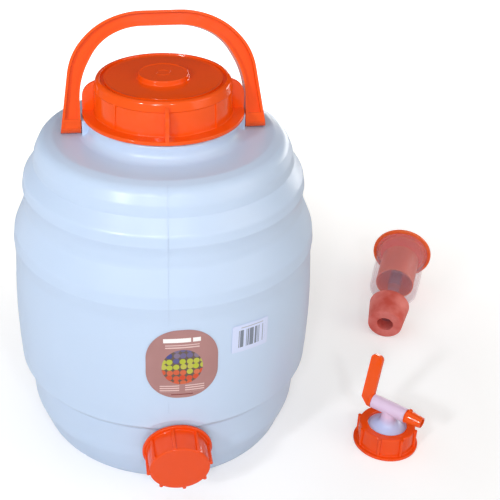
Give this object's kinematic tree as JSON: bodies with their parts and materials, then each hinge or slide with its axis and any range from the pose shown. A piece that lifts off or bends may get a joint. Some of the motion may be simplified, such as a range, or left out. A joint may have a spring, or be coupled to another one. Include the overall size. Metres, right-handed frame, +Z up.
{
  "type": "fermentation jar with airlock",
  "caption": "Barrel-shaped plastic fermenting jar with screw lid, bail handle and outlet, laid out with its airlock in a bung and its outlet tap.",
  "frame": {"origin": "centre of the stand ring, on the floor", "axes": "+Z up along the barrel axis, the outlet faces -Y, the handle turns about X"},
  "size_m": [0.4383, 0.3569, 0.3734],
  "materials": {
    "natural_plastic": "translucent natural polyethylene, satin",
    "orange_plastic": "satin orange moulding",
    "seal_rubber": "soft, matt",
    "label_paper": "printed, satin",
    "sticker_paper": "printed, matt",
    "bung_rubber": "matt",
    "clear_plastic": "clear, slightly milky",
    "tap_plastic": "translucent natural polyethylene"
  },
  "bodies": {
    "barrel": {"barrel_shell": "natural_plastic", "front_label": "label_paper", "barcode_sticker": "sticker_paper", "airlock_cup": "clear_plastic", "tap_body": "tap_plastic", "tap_washer": "seal_rubber"},
    "lid_liner": {"lid_seal": "seal_rubber"},
    "screw_lid": {"lid": "orange_plastic"},
    "handle": {"carry_handle": "orange_plastic"},
    "cap_liner": {"outlet_cap_seal": "seal_rubber"},
    "screw_cap": {"outlet_cap": "orange_plastic"},
    "bung": {"airlock_bung": "bung_rubber"},
    "airlock_cover": {"airlock_lid": "orange_plastic"},
    "airlock_float": {"airlock_bell": "orange_plastic"},
    "nut": {"union_nut": "orange_plastic"},
    "tap_valve": {"tap_plug": "orange_plastic", "tap_lever": "orange_plastic", "plug_o_rings": "seal_rubber"}
  },
  "joints": [
    {"name": "handle_swing", "type": "hinge", "parent": "barrel", "child": "handle", "pos_m": [0, 0, 0.291], "axis": [1, 0, 0], "range_deg": [-69, 109]},
    {"name": "lid_rise", "type": "slide", "parent": "barrel", "child": "lid_liner", "axis": [0, 0, 1], "range_m": [0, 0.0091]},
    {"name": "lid_turn", "type": "hinge", "parent": "lid_liner", "child": "screw_lid", "pos_m": [0, 0, 0.31], "axis": [0, 0, 1], "range_deg": [0, 540]},
    {"name": "cap_travel", "type": "slide", "parent": "barrel", "child": "cap_liner", "axis": [0, -0.989, -0.1478], "range_m": [0, 0.0081]},
    {"name": "cap_turn", "type": "hinge", "parent": "cap_liner", "child": "screw_cap", "pos_m": [0, -0.1172, 0.0582], "axis": [0, -0.989, -0.1478], "range_deg": [0, 720]},
    {"name": "bung_pull", "type": "slide", "parent": "barrel", "child": "bung", "axis": [-0.4029, -0.9049, -0.1374], "range_m": [0, 0.024]},
    {"name": "cover_lift", "type": "slide", "parent": "barrel", "child": "airlock_cover", "axis": [0.4029, 0.9049, 0.1374], "range_m": [0, 0.012]},
    {"name": "bell_float", "type": "slide", "parent": "barrel", "child": "airlock_float", "axis": [0.4029, 0.9049, 0.1374], "range_m": [0, 0.011]},
    {"name": "nut_turn", "type": "hinge", "parent": "barrel", "child": "nut", "pos_m": [0.194, -0.063, 0.01], "axis": [0, 0, 1], "continuous": true},
    {"name": "tap_turn", "type": "hinge", "parent": "barrel", "child": "tap_valve", "pos_m": [0.194, -0.063, 0.037], "axis": [0.7071, -0.7071, 0], "range_deg": [0, 90]}
  ],
  "couplings": [
    {"joint": "lid_rise", "follows": "lid_turn", "m_per_rad": 0.00095493},
    {"joint": "cap_travel", "follows": "cap_turn", "m_per_rad": 0.00063662}
  ]
}
